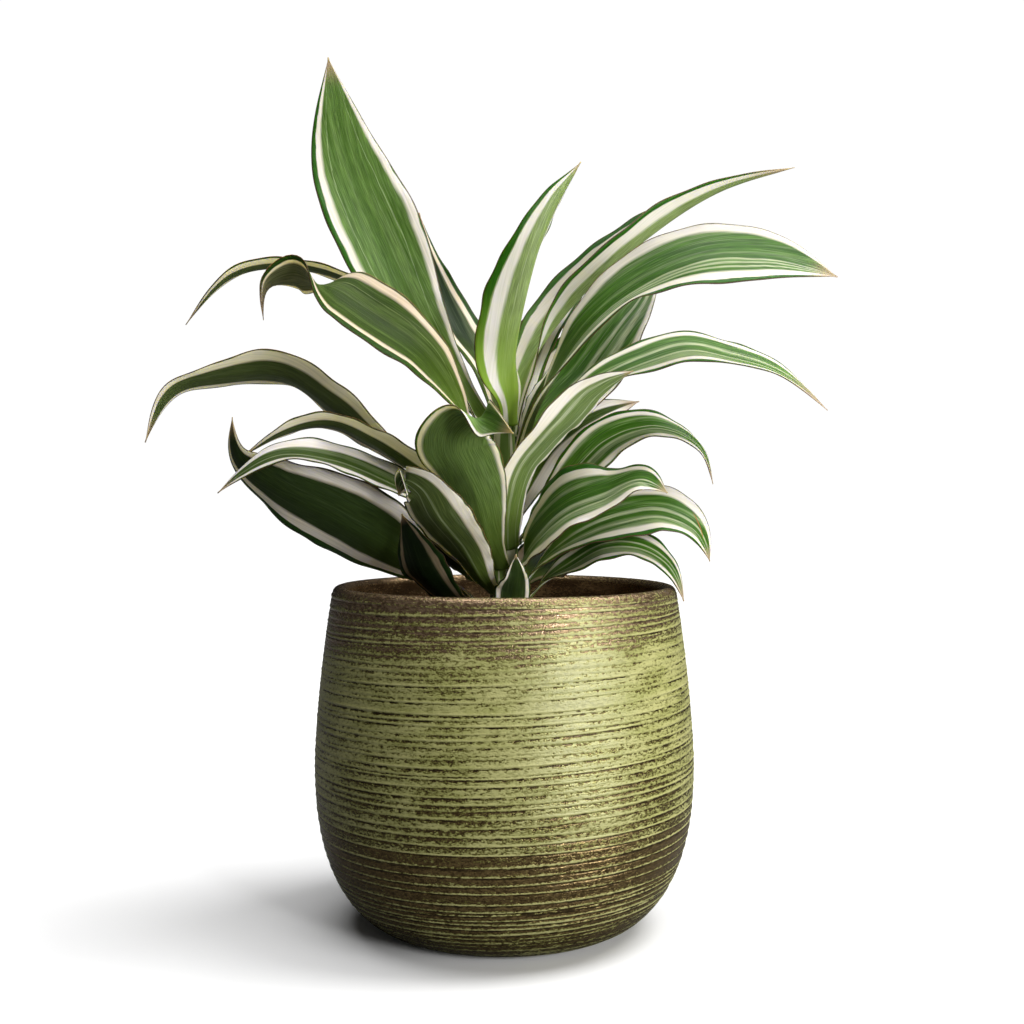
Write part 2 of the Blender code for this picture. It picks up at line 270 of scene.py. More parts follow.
def makePot(material):
    # An outline of radius and height, turned about the axis: under the foot, round its edge, up the wall,
    # over the lip, down inside and across the floor. Outside, the radius gains the thrown lines' relief.
    angle = fullTurn(pot["columns"])
    lip = pot["wall"] / 2
    lipHeight, lipRadius = pot["height"] - lip, pot["rimRadius"] - lip
    footTurn = np.linspace(-pi / 2, 0, pot["footRows"])
    foot = np.stack([pot["footRadius"] - pot["footRound"] + pot["footRound"] * np.cos(footTurn),
                     pot["footRound"] * (1 + np.sin(footTurn))], axis=-1)
    wallHeight = np.arange(pot["footRound"] + pot["rowGap"], lipHeight, pot["rowGap"])
    wall = np.stack([potRadius(wallHeight), wallHeight], axis=-1)
    lipTurn = np.linspace(0, pi, pot["lipRows"])
    edge = np.stack([lipRadius + lip * np.cos(lipTurn), lipHeight + lip * np.sin(lipTurn)], axis=-1)
    insideHeight = np.linspace(lipHeight - 2, pot["floor"], pot["insideRows"])
    inside = np.stack([insideRadius(insideHeight), insideHeight], axis=-1)
    outline = np.concatenate([foot, wall, edge, inside])
    radius, height = outline[:, :1], outline[:, 1:]
    outerRows = len(foot) + len(wall)
    outer = np.zeros_like(radius)
    outer[:outerRows] = 1
    # The lines tilt together and level out just below the rim.
    slant = tan(radians(pot["tilt"])) * ease((pot["height"] - height) / pot["levelBelowRim"])
    level = height - radius * np.cos(angle) * slant
    relief, ridges, grooves, rows = turnedLines(level, angle)
    calm = outer * ease(height / pot["fadeFoot"])
    calm = calm * ease((pot["height"] - height - pot["plainRim"]) / pot["fadeRim"])
    relief = (relief - pot["ridgeHeight"]) * calm
    # The wall is a little uneven, as a hand-finished pot is, and never stands out past the plain shape.
    uneven = pot["unevenness"] * outer * (1 + np.sin(2 * angle + 1) * np.sin(height / 31))
    radius = radius + relief - uneven
    points = turnedPoints(radius, height, angle, 0, pot["floor"])
    # The glaze gives way to clay over the inner half of the lip.
    lipHalf = pot["lipRows"] / 2
    within = ease((np.arange(len(outline)) - outerRows - lipHalf) / lipHalf)[:, None]
    values = dict(ridges=ridges * calm, grooves=grooves * calm, rows=rows * calm,
                  cover=glazeCover(level, angle), level=level * mm, inside=within)
    return newPiece("glazed_pot", points, turnedFaces(*radius.shape), material,
                    {label: withPoles(numbers, radius.shape) for label, numbers in values.items()})


# Colours of the glaze where it is thick and where it ran thin, with their specks, pits and cuts, the
# bronze that the brown turns to between two heights below the rim, in metres, and the clay inside.
glaze = dict(
    green="#8e904f", paleGreen="#a4a269", greenSpeck="#a9a76e", greenPit="#6c6c33", ridge="#bbb87e",
    thinGreen="#6e6a33", brown="#46371a", paleBrown="#7c6842", brownSpeck="#8b784c", cut="#2e2210",
    bronze="#6b543c", paleBronze="#b0947a", bronzeRise=(0.108, 0.13), clay="#7a6242", paleClay="#9e8058",
)


def glazeFinish():
    # Reactive stoneware glaze: matt apple green that broke over the throwing lines, and bronze-brown
    # where it ran thin. It gives the eye broken rings, pits and specks. Its thickness is the cover, plus
    # the ridges, less the grooves and the pits' rows, plus noise of four sizes.
    material, tree, shader = newMaterial("reactive stoneware glaze", IOR=1.5)
    ridges, grooves, rows, cover, level, inside = [
        addNode(tree, "Attribute", output="Fac", attribute_name=label)
        for label in ("ridges", "grooves", "rows", "cover", "level", "inside")]
    place = addNode(tree, "TexCoord", output="Object")
    x, y = addNode(tree, "SeparateXYZ", {0: place}).node.outputs[:2]
    at = addNode(tree, "CombineXYZ", {0: x, 1: y, 2: level})
    blotches = grain(tree, at, 9, 3, (2.5, 2.5, 0.7))
    dashes = grain(tree, at, 0.95, 2, (2.0, 2.0, 0.8), 0.6)
    threads = grain(tree, at, 0.5, 2, (30, 30, 1))
    specks = grain(tree, at, 0.55, 1, (1.3, 1.3, 1), 0.6)
    broken = grain(tree, at, 1.8, 2, (2.6, 2.6, 0.8))
    broken = addNode(tree, "MapRange", {0: broken, 1: 0.4, 2: 0.62, 3: 0.15, 4: 1},
                     interpolation_type="SMOOTHSTEP")
    cut = addNode(tree, "Math", {0: grooves, 1: broken}, operation="MULTIPLY")
    thickness = weigh(tree, cover, (ridges, 0.55, 0), (cut, -0.62, 0), (rows, -0.13, 0.3),
                      (blotches, 0.6, 0.5), (dashes, 1.05, 0.5), (threads, 0.2, 0.5), (specks, 0.6, 0.5))
    green = layer(tree, glaze["green"], glaze["paleGreen"], blotches, 0.35, 0.65)
    green = layer(tree, green, glaze["greenSpeck"], specks, 0.3, 0.7, 0, 0.5)
    green = layer(tree, green, glaze["greenPit"], dashes, 0.4, 0.52, 0.5, 0)
    green = layer(tree, green, glaze["ridge"], ridges, 0.3, 1.0, 0, 0.6)
    green = layer(tree, glaze["thinGreen"], green, thickness, 0.45, 0.7)
    brown = layer(tree, glaze["brown"], glaze["paleBrown"], dashes, 0.35, 0.65)
    bronze = layer(tree, glaze["bronze"], glaze["paleBronze"], dashes, 0.35, 0.65)
    brown = layer(tree, brown, bronze, level, *glaze["bronzeRise"])
    brown = layer(tree, brown, glaze["brownSpeck"], specks, 0.5, 0.7, 0, 0.6)
    brown = layer(tree, brown, glaze["cut"], cut, 0.1, 0.6, 0, 0.8)
    outside = layer(tree, brown, green, thickness, 0.32, 0.5)
    clay = layer(tree, glaze["clay"], glaze["paleClay"], blotches, 0.3, 0.7)
    colour = addNode(tree, "Mix", {0: inside, 6: outside, 7: clay}, 2, data_type="RGBA")
    # Thick glaze is duller than thin, which has a metallic sheen and stands a little lower.
    rough = addNode(tree, "MapRange", {0: thickness, 1: 0.3, 2: 0.9, 3: 0.24, 4: 0.42},
                    interpolation_type="SMOOTHSTEP")
    metal = addNode(tree, "MapRange", {0: thickness, 1: 0.35, 2: 0.75, 3: 0.7, 4: 0},
                    interpolation_type="SMOOTHSTEP")
    tree.links.new(rough, shader.inputs["Roughness"])
    tree.links.new(metal, shader.inputs["Metallic"])
    body = addNode(tree, "MapRange", {0: thickness, 1: 0.3, 2: 0.5}, interpolation_type="SMOOTHSTEP")
    height = weigh(tree, 0, (dashes, 0.6, 0), (specks, 0.5, 0), (threads, 0.5, 0), (body, 0.3, 0))
    giveSkin(tree, shader, colour, height, 0.5)
    return material


# The soil

# The two sizes of lumps are in mm. Crumbs are laid between hole and wall, with so much room left at each.
soil = dict(
    top=130, edgeTop=127, hole=7.3, clearance=0.3, columns=150, rows=56, sideRows=10, lumps=1.3,
    lumpSizes=(5, 2.1), sunk=0.3, crumbs=650, crumbSize=(0.5, 2.0), crumbRoom=(3, 2), seed=5,
    colour="#1d140d", clod="#3a2819", fibre="#6b4d33",
)


def soilHeight(share):
    # Falls gently from the stem, where share is 0, to the wall, where it is 1.
    return soil["top"] - (soil["top"] - soil["edgeTop"]) * share ** 1.5


def makeCrumbs(edge, draw):
    # Crumbs: small balls of a few faces, squashed and jittered, thrown over the top. Gives their points
    # and the faces of one: a turned body's, each read the other way round, as its poles are swapped.
    tilts, columns = (0.9, 1.57, 2.24), 6
    ball = [(sin(a) * cos(b), sin(a) * sin(b), cos(a)) for a in tilts for b in fullTurn(columns)[0]]
    ball = np.array([(0, 0, 1), *ball, (0, 0, -1)])
    count = soil["crumbs"]
    around = draw.uniform(0, 2 * pi, count)
    innerRoom, outerRoom = soil["crumbRoom"]
    reach = edge - soil["hole"]
    out = soil["hole"] + innerRoom + (reach - innerRoom - outerRoom) * np.sqrt(draw.random(count))
    least, greatest = soil["crumbSize"]
    size = least + (greatest - least) * draw.random(count) ** 3
    lift = soilHeight((out - soil["hole"]) / reach) + 0.2 * size
    middle = np.stack([out * np.cos(around), out * np.sin(around), lift], axis=-1)
    shape = ball[None] * size[:, None, None] * draw.uniform(0.6, 1.3, (count, len(ball), 1))
    points = middle[:, None] + shape * draw.uniform(0.6, 1.4, (count, 1, 3))
    return points, [face[:1] + face[:0:-1] for face in turnedFaces(len(tilts), columns)]


def makeSoil(material):
    # The top falls gently from the stem to the wall and is roughened by two sizes of lumps. The side and
    # floor are plain, inside the pot.
    angle = fullTurn(soil["columns"])
    edge = insideRadius(np.array([soil["edgeTop"]]))[0] - soil["clearance"]
    share = np.linspace(0, 1, soil["rows"])[::-1, None]
    radius = soil["hole"] + (edge - soil["hole"]) * share
    spot = np.stack([radius * np.cos(angle), radius * np.sin(angle), 0 * radius * angle], axis=-1)
    coarseSize, fineSize = soil["lumpSizes"]
    coarse = lattice(spot / coarseSize + 40, soil["seed"])
    fine = lattice(spot / fineSize + 90, soil["seed"] + 1)
    rough = soil["lumps"] * (coarse + 0.6 * fine - 0.9)
    topHeight = soilHeight(share) + rough * ease((1 - share) / 0.04) * ease(share / 0.1) - soil["sunk"]
    bottom = pot["floor"] + soil["clearance"]
    sideHeight = np.linspace(bottom, soil["edgeTop"] - 1, soil["sideRows"])[:, None] + 0 * angle
    sideRadius = insideRadius(sideHeight) - soil["clearance"]
    height = np.concatenate([sideHeight, topHeight])
    radius = np.concatenate([sideRadius, radius + 0 * angle])
    points = turnedPoints(radius, height, angle, bottom, soil["edgeTop"])
    faces = turnedFaces(*height.shape)
    crumbs, lump = makeCrumbs(edge, np.random.default_rng(soil["seed"]))
    starts = len(points) + crumbs.shape[1] * np.arange(len(crumbs))[:, None, None]
    for corners in (3, 4):
        same = np.array([face for face in lump if len(face) == corners])
        faces += (same + starts).reshape(-1, corners).tolist()
    points = np.concatenate([points, crumbs.reshape(-1, 3)])
    return newPiece("potting_soil", points, faces, material)


def soilFinish():
    # Moist peat compost: near-black brown with lighter fibres. It gives the eye a dark, crumbly bed.
    material, tree, shader = newMaterial("moist peat compost", Roughness=0.95, IOR=1.4)
    at = addNode(tree, "TexCoord", output="Object")
    clods = grain(tree, at, 4, 3)
    fibres = grain(tree, at, 0.7, 3, (1, 2.5, 1))
    colour = layer(tree, soil["colour"], soil["clod"], clods, 0.35, 0.65)
    colour = layer(tree, colour, soil["fibre"], fibres, 0.6, 0.72)
    giveSkin(tree, shader, colour, fibres, 0.8)
    return material


# The cane

# Bare skin with leaf scars shows up to the height sheathed above the soil, and gives way to leaf sheaths
# over sheathFade. skinRise is where the one colour turns to the other, in metres.
stem = dict(
    foot=96, length=96, footRadius=7, tipRadius=4.5, taperLength=95, dome=3.5, columns=64, rows=330,
    scarGap=5.5, scarDepth=0.28, scarWidth=0.45, swell=0.12, sheathed=16, sheathFade=10,
    skin="#7c7048", sheath="#6f8a3c", streak="#d5d2b4", scar="#5b4630", skinRise=(0.14, 0.155),
)


def stemRadius(height):
    # Tapers evenly from the foot's radius to the tip's.
    share = np.clip(height / stem["taperLength"], 0, 1)
    return stem["footRadius"] + (stem["tipRadius"] - stem["footRadius"]) * share


def makeStem(material):
    # The cane swells a little above each ring-shaped leaf scar, which is a fine groove set slightly
    # askew. Higher up leaf sheaths wrap it smoothly, and it ends in a dome.
    angle = fullTurn(stem["columns"])
    top = soil["top"] + stem["length"]
    height = np.linspace(stem["foot"], top, stem["rows"])[:, None]
    above = height - soil["top"]
    joint = (above + 0.5 * np.sin(angle + height / 9)) / stem["scarGap"]
    near = np.abs(joint - np.round(joint)) * stem["scarGap"]
    bare = 1 - ease((above - stem["sheathed"]) / stem["sheathFade"])
    scar = stem["scarDepth"] * bump(near, stem["scarWidth"])
    radius = stemRadius(above) - bare * (scar + stem["swell"] * (joint - np.floor(joint)))
    dome = np.sqrt(np.clip(1 - (1 - (top - height) / stem["dome"]).clip(0) ** 2, 0.002, 1))
    points = turnedPoints(radius * dome, height, angle, stem["foot"], top)
    scars = withPoles(bare * bump(near, 0.6), radius.shape)
    return newPiece("cane", points, turnedFaces(*radius.shape), material, dict(scars=scars))


def caneFinish():
    # Young cane, partly sheathed. It gives the eye tan skin with dry leaf scars by the soil, and above it
    # leaf sheaths striped lengthwise in green and cream.
    material, tree, shader = newMaterial("young sheathed cane", Roughness=0.5, IOR=1.45)
    at = addNode(tree, "TexCoord", output="Object")
    height = addNode(tree, "SeparateXYZ", {0: at}, "Z")
    streaks = grain(tree, at, 2.2, 1, (1, 1, 40))
    skin = layer(tree, stem["skin"], stem["sheath"], height, *stem["skinRise"])
    skin = layer(tree, skin, stem["streak"], streaks, 0.5, 0.58)
    scars = addNode(tree, "Attribute", output="Fac", attribute_name="scars")
    scars = addNode(tree, "Math", {0: scars, 1: 0.8}, operation="MULTIPLY")
    colour = addNode(tree, "Mix", {0: scars, 6: skin, 7: stem["scar"]}, 2, data_type="RGBA")
    giveSkin(tree, shader, colour, streaks, 0.3)
    return material


# The leaves

# What all blades share; along and across count the grid's cells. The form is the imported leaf's own, drawn
# finer, with the margins thinner than the middle and a frill of small waves along them. opensBy, risesBy
# and middle are shares of the length: where a base has opened off the stem, where the fold has risen, and
# where the blade starts to turn from its middle roll to its tip's. thinTip is the share of the thickness
# left at the tip, and the share of the length that thins. phaseStep keeps the waves of neighbours from
# matching.
blade = dict(
    thickness=0.8, edgeThickness=0.35, along=110, across=22, clearance=1.1, waveHeight=1.0, waves=2.5,
    wrapTurn=1.15, opensBy=0.16, risesBy=0.3, flattening=0.6, valley=0.2, tipCurve=1.8, tipTaper=1.15,
    middle=0.4, leastHalf=0.4, frill=0.35, frills=9, midrib=0.35, midribWidth=0.9, thinTip=(0.35, 0.06),
    # The near-black colour of the fine veins also paints shade over each leaf's base.
    phaseStep=2.4, veinAndPaintedShade="#0c1604", glow="#8fae3c", stain="#a08a6c", dryTip="#a58a70", scratch="#9a6a3c",
)
# What a leaf has where its own lines don't say; rollsBy is the share of the length over which it rolls.
plainBlade = dict(
    base=10, widest=0.45, roll=(0, 0), rollsBy=0.4, twist=(0, 1, 0), fold=14, tip=0.05, glow=0.25,
    lanes=0.4, stripes=[],
)

# Tones of a blade: centre and deep are the green ground, pale its streaks, margin the green outside the
# bands, band the cream, under the lower face's ground, underBand its bands and edge the dry line round
# the blade. shade is how strongly painted shade darkens the ground towards the stem, and gloss the skin's
# specular level. The shaded and dark tones are painted shade for leaves that lie in shadow: their green is
# darker, and the dark tone's cream bands are painted tan.
tones = dict(
    sunlit=dict(centre="#55822a", deep="#36620f", pale="#bfc8a0", margin="#2c6210", band="#ebe1d2",
                under="#7f9158", underBand="#f4eadb", edge="#4a382a", shade=0.55, gloss=0.18),
    broad=dict(centre="#64843b", deep="#4a6a25", pale="#93a872", margin="#2f6416", band="#eae0d2",
               under="#70884a", underBand="#ded5c8", edge="#43322a", shade=0.3, gloss=0.12),
    fresh=dict(centre="#8ba058", deep="#759046", pale="#aebd88", margin="#2a6410", band="#e8dfd0",
               under="#96aa6a", underBand="#ece6dc", edge="#4a382a", shade=0, gloss=0.15),
    olive=dict(centre="#3a5017", deep="#2b3e0e", pale="#6b7a45", margin="#284614", band="#cbb9a2",
               under="#8a8c62", underBand="#f8e8d3", edge="#3d2c20", shade=0.3, gloss=0.06),
    grown=dict(centre="#4d642a", deep="#3c521b", pale="#909d74", margin="#335a1a", band="#fbefe2",
               under="#5c6a38", underBand="#fff0dc", edge="#3d2c20", shade=0.6, gloss=0.08),
    shaded=dict(centre="#2c4220", deep="#1e3212", pale="#7c8a62", margin="#274c14", band="#ffead0",
                under="#35461f", underBand="#fff0dc", edge="#35261c", shade=0.75, gloss=0.08),
    dark=dict(centre="#1a2a10", deep="#10200a", pale="#4c5a3c", margin="#1a3010", band="#8f8068",
              under="#182410", underBand="#8f8068", edge="#241a14", shade=0.6, gloss=0.08),
)

# Every leaf: joins is its height above the soil and side the direction it grows in, in degrees from +X.
# Its midrib then passes through the route's points, in mm. roll turns the blade about its midrib, in the
# middle and at the tip, twist adds a turn in degrees between two shares of the length, and fold is how
# steeply its halves rise. base is its width at the stem, and widest says where along its length it is at
# its full width. tone names its colours. left and right are where the cream bands begin and end on each
# half, as shares of the half's width, and stripes are pale lines, each a middle and a half width on the
# scale from -1 at the right edge to 1 at the left. tip is the dry share of the length. glow and lanes are
# how strong the yellow-green of the base is and the broad pale lanes, shade is how strongly painted shade
# darkens the ground towards the stem, and scratch is where a scratch lies, across and along.
leaves = [
    dict(name="leaf_bright", joins=91, side=-40, width=42, base=14, fold=55, widest=0.3,
         route=[(4, -8, 250), (10, -8, 282), (20, -7, 314), (34, -3, 338)],
         tone="fresh", right=(0.5, 0.78), left=(0.5, 0.8), stripes=[(-0.28, 0.01)],
         glow=0.85, lanes=0.25),
    dict(name="leaf_tall_behind", joins=88, side=104, width=22, fold=15,
         route=[(-4, 16, 238), (-22, 50, 271), (-37, 70, 304), (-44, 84, 334)],
         tone="shaded", right=(0.52, 0.76), left=(0.52, 0.76)),
    dict(name="leaf_tall", joins=83, side=120, width=46, base=8, roll=(-12, -12), fold=8, widest=0.6,
         route=[(-8, 12, 222), (-24, 20, 244), (-42, 28, 274), (-58, 39, 308), (-76, 50, 352),
                (-87, 60, 405)],
         tone="broad", right=(0.8, 0.965), left=(0.7, 0.86), stripes=[(0.5, 0.01), (-0.5, 0.008)],
         lanes=0.15),
    dict(name="leaf_behind_right", joins=70, side=70, width=26,
         route=[(5, 20, 231), (14, 48, 262), (29, 76, 288), (58, 106, 326)],
         tone="grown", right=(0.5, 0.85), left=(0.5, 0.85)),
    dict(name="leaf_up_right", joins=86, side=54, width=43, base=8, roll=(-25, -25), fold=50,
         route=[(7, 17, 238), (26, 40, 273), (69, 53, 315), (106, 63, 340), (145, 72, 354)],
         tone="fresh", right=(0.52, 0.86), left=(0.55, 0.85), tip=0.12),
    # Strong painted shade darkens this leaf's base, where the leaf above shades it.
    dict(name="leaf_big_right", joins=62, side=-34, width=53, roll=(48, 42), widest=0.66,
         route=[(8, -10, 206), (13, -13, 224), (23, -15, 243), (38, -17, 264), (58, -18, 280),
                (85, -23, 291), (115, -26, 291), (142, -28, 283)],
         tone="sunlit", right=(0.58, 0.86), left=(0.74, 0.985),
         stripes=[(-0.1, 0.03), (-0.24, 0.03), (-0.4, 0.03)], shade=0.85, lanes=0.2),
    dict(name="leaf_far_left", joins=72, side=178, width=20, base=8, roll=(9, 8), widest=0.6,
         route=[(-14, 3, 226), (-33, 5, 257), (-65, 8, 284), (-97, 18, 295), (-128, 26, 292),
                (-150, 30, 270)],
         tone="grown", right=(0.5, 0.9), left=(0.5, 0.9)),
    dict(name="leaf_arch_left", joins=61, side=212, width=41, base=8, roll=(-60, -58),
         twist=(0.68, 0.86, 90), widest=0.62,
         route=[(-17, -15, 222), (-37, -26, 252), (-58, -31, 266), (-75, -32, 277), (-91, -30, 283),
                (-101, -27, 279), (-103, -25, 265)],
         tone="olive", right=(0.76, 0.95), left=(0.66, 0.79), stripes=[(-0.5, 0.01)], tip=0.1, glow=0.2,
         lanes=0.25),
    dict(name="leaf_inner_right", joins=74, side=26, width=12, base=7,
         route=[(10, 4, 223), (18, 8, 240), (26, 12, 254), (33, 15, 264)],
         tone="grown", right=(0.4, 0.9), left=(0.5, 0.9)),
    dict(name="leaf_broad_right", joins=60, side=58, width=46, roll=(20, 20), fold=18, widest=0.42,
         route=[(8, 17, 208), (19, 31, 228), (37, 45, 248), (53, 58, 270), (68, 72, 289), (80, 82, 306)],
         tone="sunlit", right=(0.8, 0.97), left=(0.62, 0.85), stripes=[(-0.05, 0.05), (-0.42, 0.08)],
         shade=0.75, lanes=0.2),
    dict(name="leaf_mid_left", joins=54, side=168, width=36, roll=(34, 12),
         route=[(-16, 3, 196), (-44, 6, 203), (-77, 10, 229), (-103, 12, 245), (-130, 12, 244),
                (-151, 12, 238), (-164, 11, 214)],
         tone="grown", right=(0.66, 0.93), left=(0.6, 0.96), shade=0.3),
    dict(name="leaf_mid_right", joins=53, side=2, width=32, base=8, roll=(35, 25), rollsBy=0.6,
         widest=0.62,
         route=[(13, 2, 200), (24, 6, 225), (43, 10, 241), (63, 10, 250), (84, 9, 256), (103, 6, 252),
                (122, 4, 246), (145, 1, 228)],
         tone="sunlit", right=(0.6, 0.85), left=(0.74, 0.92), stripes=[(-0.1, 0.05), (0.3, 0.04)],
         tip=0.12),
    dict(name="leaf_diagonal", joins=36, side=-64, width=27, roll=(20, 25), widest=0.6,
         route=[(3, -12, 178), (5, -16, 190), (9, -20, 202), (17, -23, 212), (27, -25, 222), (39, -23, 235),
                (56, -18, 244)],
         tone="sunlit", right=(0.56, 0.97), left=(0.82, 0.97), stripes=[(-0.3, 0.06), (0.4, 0.03)],
         shade=0.6, lanes=0.25),
    dict(name="leaf_curled_right", joins=46, side=70, width=24, roll=(30, 40), widest=0.6,
         route=[(9, 18, 190), (25, 36, 215), (46, 50, 229), (66, 58, 236)],
         tone="grown", right=(0.2, 0.9), left=(0.3, 0.9), tip=0.1),
    dict(name="leaf_left_upper", joins=43, side=186, width=26, roll=(20, 20),
         route=[(-18, -4, 188), (-41, -9, 202), (-58, -10, 213), (-76, -9, 221), (-97, -8, 218),
                (-116, -7, 207)],
         tone="grown", right=(0.6, 0.92), left=(0.45, 0.94)),
    dict(name="leaf_arch_right", joins=38, side=8, width=25, roll=(48, 30),
         route=[(16, 6, 179), (30, 7, 198), (49, 11, 216), (71, 13, 221), (88, 12, 213), (95, 10, 195)],
         tone="sunlit", right=(0.7, 0.93), left=(0.68, 0.86), stripes=[(-0.2, 0.05), (0.05, 0.02)],
         tip=0.08, shade=0.7),
    dict(name="leaf_front_mid", joins=27, side=258, width=35, roll=(0, 25), widest=0.62,
         route=[(-6, -18, 168), (-12, -29, 190), (-17, -37, 202), (-20, -43, 209), (-19, -49, 215),
                (-11, -56, 221), (4, -61, 215)],
         tone="broad", right=(0.82, 0.95), left=(0.84, 0.96), shade=0.6, lanes=0.25),
    dict(name="leaf_left_lower", joins=34, side=204, width=30, roll=(-32, -25),
         route=[(-17, -7, 176), (-33, -9, 186), (-51, -15, 196), (-73, -24, 205), (-95, -33, 207),
                (-120, -38, 191)],
         tone="grown", right=(0.5, 0.93), left=(0.6, 0.9), stripes=[(0.1, 0.05)]),
    dict(name="leaf_broad_low_right", joins=22, side=-36, width=44, base=12, roll=(50, 40), rollsBy=0.2,
         fold=10, widest=0.47,
         route=[(9, -11, 163), (15, -19, 174), (26, -26, 185), (43, -31, 192), (60, -34, 197),
                (69, -34, 191)],
         tone="sunlit", right=(0.72, 0.97), left=(0.6, 0.84), stripes=[(-0.15, 0.05), (-0.42, 0.03)],
         shade=0.25),
    dict(name="leaf_low_arch_right", joins=15, side=-12, width=38, roll=(40, 30), widest=0.6,
         route=[(14, -5, 157), (30, -9, 171), (51, -12, 180), (71, -13, 182), (84, -14, 175),
                (90, -14, 161)],
         tone="sunlit", right=(0.58, 0.84), left=(0.64, 0.97), stripes=[(0.12, 0.05), (-0.25, 0.03)],
         scratch=(0.3, 0.86), shade=0.3),
    dict(name="leaf_front_left", joins=16, side=238, width=31, roll=(5, 12), widest=0.6,
         route=[(-10, -17, 154), (-18, -30, 168), (-28, -41, 181), (-35, -47, 193), (-40, -46, 196),
                (-44, -39, 190)],
         tone="grown", right=(0.78, 0.93), left=(0.62, 0.95), stripes=[(0.1, 0.03), (-0.2, 0.02)],
         shade=0.3),
    dict(name="leaf_shaded", joins=16, side=62, width=30, roll=(20, 20),
         route=[(9, 12, 152), (18, 24, 157), (28, 35, 164), (38, 45, 173)],
         tone="dark", right=(0.66, 0.9), left=(0.66, 0.9)),
    dict(name="leaf_low_dark_inner", joins=21, side=200, width=16, base=8, roll=(15, 15),
         route=[(-13, -6, 152), (-20, -7, 157), (-27, -8, 163), (-34, -9, 170), (-39, -9, 176)],
         tone="dark", right=(0.5, 0.9), left=(0.5, 0.9)),
    dict(name="leaf_low_dark", joins=8, side=230, width=28, base=8, widest=0.6,
         route=[(-14, -14, 141), (-26, -24, 147), (-35, -28, 157), (-40, -26, 170), (-44, -24, 182)],
         tone="dark", right=(0.6, 0.8), left=(0.6, 0.8)),
    dict(name="leaf_low_left", joins=4, side=174, width=48, roll=(57, 46), widest=0.5,
         route=[(-18, 0, 146), (-38, -4, 157), (-58, -11, 170), (-76, -17, 181), (-99, -19, 193),
                (-116, -19, 207), (-118, -18, 224)],
         tone="shaded", right=(0.5, 0.8), left=(0.72, 0.97), lanes=0.1),
    dict(name="leaf_lowest_right", joins=7, side=-20, width=23, roll=(35, 35),
         route=[(16, -6, 150), (30, -10, 159), (44, -15, 167), (59, -17, 167), (71, -18, 160),
                (78, -19, 144)],
         tone="sunlit", right=(0.6, 0.85), left=(0.6, 0.85), stripes=[(-0.1, 0.05), (0.25, 0.04)], tip=0.1),
    dict(name="leaf_front_short", joins=4, side=290, width=17, widest=0.4,
         route=[(4, -18, 147), (5, -25, 155), (5, -31, 165)],
         tone="shaded", right=(0.7, 0.9), left=(0.7, 0.9)),
]


def smoothRoute(points, count):
    # A smooth curve through the points, with slopes weighed by the distances between them, read at even
    # steps. Gives its places and its length.
    points = np.array(points, float)
    gaps = np.linalg.norm(np.diff(points, axis=0), axis=1)
    knots = np.concatenate([[0], np.cumsum(gaps)])
    chords = np.diff(points, axis=0) / gaps[:, None]
    slopes = np.empty_like(points)
    weighed = chords[:-1] * gaps[1:, None] + chords[1:] * gaps[:-1, None]
    slopes[1:-1] = weighed / (gaps[:-1] + gaps[1:])[:, None]
    slopes[0] = 1.5 * chords[0] - 0.5 * slopes[1]
    slopes[-1] = 1.5 * chords[-1] - 0.5 * slopes[-2]
    fineSteps = 1200
    place = np.linspace(0, knots[-1], fineSteps)
    span = np.clip(np.searchsorted(knots, place, side="right") - 1, 0, len(gaps) - 1)
    reach = gaps[span][:, None]
    u = ((place - knots[span]) / gaps[span])[:, None]
    curve = points[span] * (1 + 2 * u) * (1 - u) ** 2 + points[span + 1] * u * u * (3 - 2 * u)
    curve += reach * (slopes[span] * u * (1 - u) ** 2 - slopes[span + 1] * u * u * (1 - u))
    run = np.concatenate([[0], np.cumsum(np.linalg.norm(np.diff(curve, axis=0), axis=1))])
    even = np.linspace(0, run[-1], count)
    return np.stack([np.interp(even, run, curve[:, axis]) for axis in range(3)], axis=-1), run[-1]


